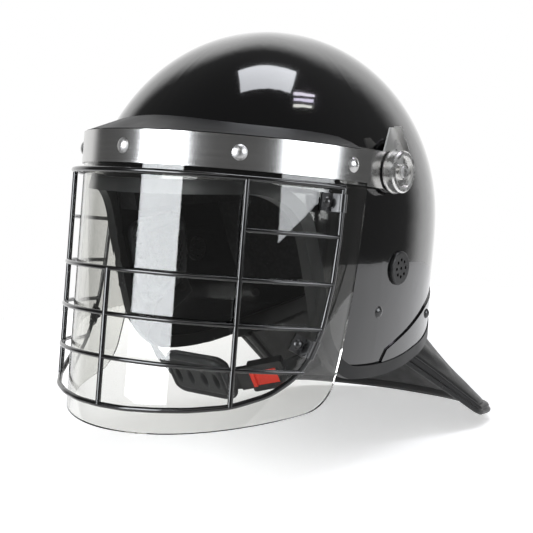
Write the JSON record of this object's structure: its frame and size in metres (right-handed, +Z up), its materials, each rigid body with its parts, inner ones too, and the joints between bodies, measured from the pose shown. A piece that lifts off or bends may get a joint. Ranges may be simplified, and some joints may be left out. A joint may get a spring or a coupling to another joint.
{
  "type": "police riot helmet",
  "caption": "Gloss full-shell public order helmet with a swing-up clear face shield, welded wire grille, chin strap and padded neck guard.",
  "frame": {"origin": "the crown seat: the point under the crown pad where the top of the head rests", "axes": "+Z up, the face looks along -Y, the wearer's left is +X"},
  "size_m": [0.2656, 0.4586, 0.3621],
  "materials": {
    "shell": "gloss",
    "trim": "satin",
    "foam": "foam with a cloth face",
    "pad": "woven cover over foam",
    "guard": "smooth grained cover over foam",
    "steel": "brushed stainless",
    "polished": "polished stainless",
    "black_steel": "black oxide",
    "wire": "black powder coat",
    "lens": "clear polycarbonate",
    "webbing": "ribbed webbing",
    "plastic": "satin",
    "lever": "satin red",
    "nylon": "natural"
  },
  "bodies": {
    "helmet": {"outer_shell": "shell", "edge_trim": "trim", "impact_liner": "foam", "crown_pad": "pad", "brow_pad": "pad", "nape_pad": "pad", "cheek_pad_left": "pad", "cheek_pad_right": "pad", "neck_guard": "guard", "nape_strip": "shell", "nape_rivets": "black_steel", "ear_plug_left": "plastic", "ear_plug_right": "plastic", "strap_rivets": "black_steel", "strap_washers": "black_steel", "base_plate_left": "steel", "base_plate_right": "steel", "base_screws": "polished", "friction_washers": "nylon", "pivot_bushes": "nylon", "spring_washers": "steel", "back_washers": "steel", "pivot_cap_left": "polished", "pivot_cap_right": "polished", "pivot_screws": "polished", "pivot_nuts": "steel", "chin_strap_left": "webbing", "chin_strap_right": "webbing", "strap_keeper": "plastic", "chin_cup": "guard", "buckle_body": "plastic", "buckle_tongue": "plastic"},
    "visor": {"visor_lens": "lens", "visor_band": "steel", "visor_arm_left": "steel", "visor_arm_right": "steel", "band_rivets": "polished", "brow_seal": "trim", "grille": "wire", "grille_clips": "steel", "clip_screws": "black_steel", "clip_nuts": "steel"},
    "lever": {"buckle_lever": "lever"}
  },
  "joints": [
    {"name": "visor_tilt", "type": "hinge", "parent": "helmet", "child": "visor", "pos_m": [0, 0.0111, -0.0806], "axis": [-1, 0, 0], "range_deg": [0, 65.5]},
    {"name": "buckle_release", "type": "hinge", "parent": "helmet", "child": "lever", "pos_m": [0.07087, -0.07683, -0.24135], "axis": [0, -0.4952, 0.8688], "range_deg": [0, 40], "stiffness_Nm_per_rad": 0.02, "springref_deg": -20.05}
  ]
}
